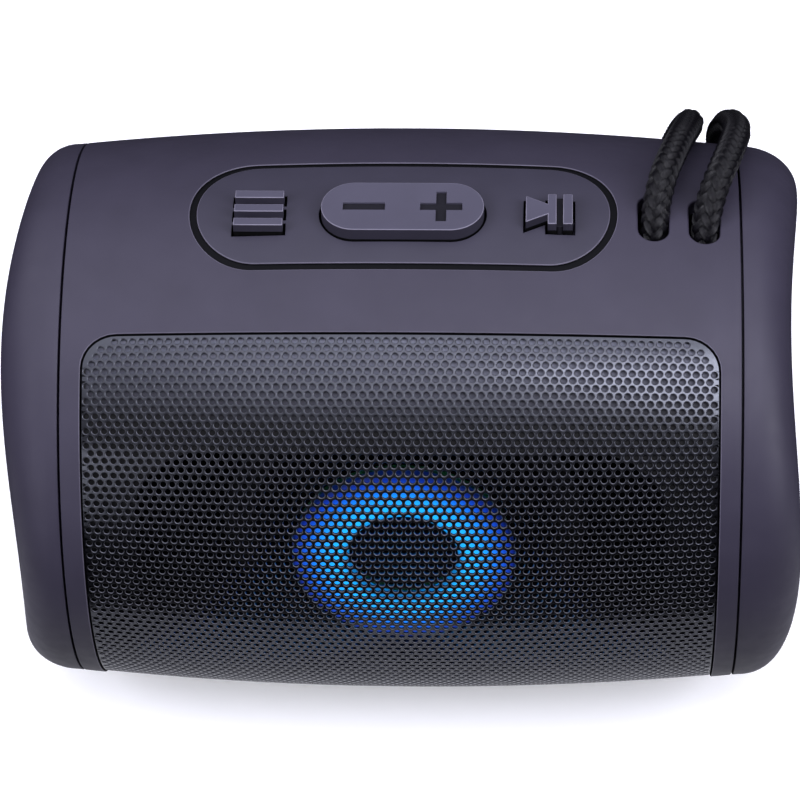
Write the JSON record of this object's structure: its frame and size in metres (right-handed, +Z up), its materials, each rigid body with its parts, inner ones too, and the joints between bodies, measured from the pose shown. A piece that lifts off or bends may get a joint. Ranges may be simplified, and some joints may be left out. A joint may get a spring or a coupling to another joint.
{
  "type": "portable speaker",
  "caption": "Barrel-shaped portable wireless speaker with a wrap-round perforated grille, a lit ring behind it, raised top keys and a braided cord loop.",
  "frame": {"origin": "on the ground under the middle of the barrel, at the bottom faces of the two feet", "axes": "+X along the barrel towards the cord loop, -Y is the front with the grille, +Z up through the key panel"},
  "size_m": [0.134, 0.1038, 0.1034],
  "materials": {
    "casing": "soft satin dark slate, very fine moulded grain",
    "key_plastic": "satin, lighter slate than the casing",
    "black_plastic": "matt black",
    "grille_steel": "glossy black lacquer on perforated sheet",
    "radiator_plate": "dark anodised, satin",
    "black_rubber": "matt",
    "cord_nylon": "braided nylon",
    "light_diffuser": "translucent, lit cyan to blue",
    "cone_paper": "black pressed paper",
    "spider_cloth": "resin-dipped cloth",
    "steel": "zinc-plated",
    "ferrite": "dark sintered",
    "circuit_board": "green solder mask",
    "chip_black": "moulded epoxy",
    "copper_wire": "enamelled copper",
    "cell_wrap": "shrink wrap over a metal can"
  },
  "bodies": {
    "root": {"body_shell": "casing", "left_end_cap": "casing", "right_end_cap": "casing", "left_seal_ring": "black_rubber", "right_seal_ring": "black_rubber", "left_radiator_surround": "black_rubber", "right_radiator_surround": "black_rubber", "front_foot": "black_rubber", "rear_foot": "black_rubber", "front_grille": "grille_steel", "grille_frame": "black_plastic", "front_baffle": "black_plastic", "light_ring": "light_diffuser", "light_ring_board": "circuit_board", "light_ring_bridge": "black_plastic", "driver_basket": "steel", "driver_surround": "black_rubber", "driver_spider": "spider_cloth", "driver_top_plate": "steel", "driver_magnet": "ferrite", "driver_yoke": "steel", "driver_screw_1": "steel", "driver_screw_2": "steel", "driver_screw_3": "steel", "driver_screw_4": "steel", "control_panel": "casing", "key_board": "circuit_board", "mode_switch": "chip_black", "volume_down_switch": "chip_black", "volume_up_switch": "chip_black", "play_switch": "chip_black", "strap_pocket": "black_plastic", "strap_pin": "steel", "strap_cord": "cord_nylon", "main_board": "circuit_board", "wireless_module": "steel", "amplifier_chip": "chip_black", "power_inductor": "ferrite", "battery_cell": "cell_wrap", "battery_cradle": "black_plastic", "port_board": "circuit_board", "charge_socket": "steel", "aux_socket": "black_plastic"},
    "mode_key": {"mode_key": "key_plastic"},
    "volume_rocker": {"volume_rocker": "key_plastic"},
    "play_key": {"play_key": "key_plastic"},
    "driver_diaphragm": {"driver_cone": "cone_paper", "driver_dust_cap": "cone_paper", "driver_voice_coil": "copper_wire"},
    "left_radiator": {"left_radiator_disc": "radiator_plate"},
    "right_radiator": {"right_radiator_disc": "radiator_plate"},
    "port_cover": {"port_cover": "black_rubber"}
  },
  "joints": [
    {"name": "mode_key_press", "type": "slide", "parent": "root", "child": "mode_key", "axis": [0, 0, -1], "range_m": [0, 0.0006], "stiffness_N_per_m": 1500},
    {"name": "play_key_press", "type": "slide", "parent": "root", "child": "play_key", "axis": [0, 0, -1], "range_m": [0, 0.0006], "stiffness_N_per_m": 1500},
    {"name": "volume_rocker_tilt", "type": "hinge", "parent": "root", "child": "volume_rocker", "pos_m": [0, -0.0013, 0.0965], "axis": [0, 1, 0], "range_deg": [-3, 3], "stiffness_Nm_per_rad": 0.25},
    {"name": "driver_travel", "type": "slide", "parent": "root", "child": "driver_diaphragm", "axis": [0, -1, 0], "range_m": [-0.0015, 0.0015], "stiffness_N_per_m": 1500},
    {"name": "left_radiator_travel", "type": "slide", "parent": "root", "child": "left_radiator", "axis": [-1, 0, 0], "range_m": [-0.002, 0.002], "stiffness_N_per_m": 1200},
    {"name": "right_radiator_travel", "type": "slide", "parent": "root", "child": "right_radiator", "axis": [1, 0, 0], "range_m": [-0.002, 0.002], "stiffness_N_per_m": 1200},
    {"name": "port_cover_hinge", "type": "hinge", "parent": "root", "child": "port_cover", "pos_m": [0, 0.04087, 0.02365], "axis": [-1, 0, 0], "range_deg": [0, 110]}
  ]
}
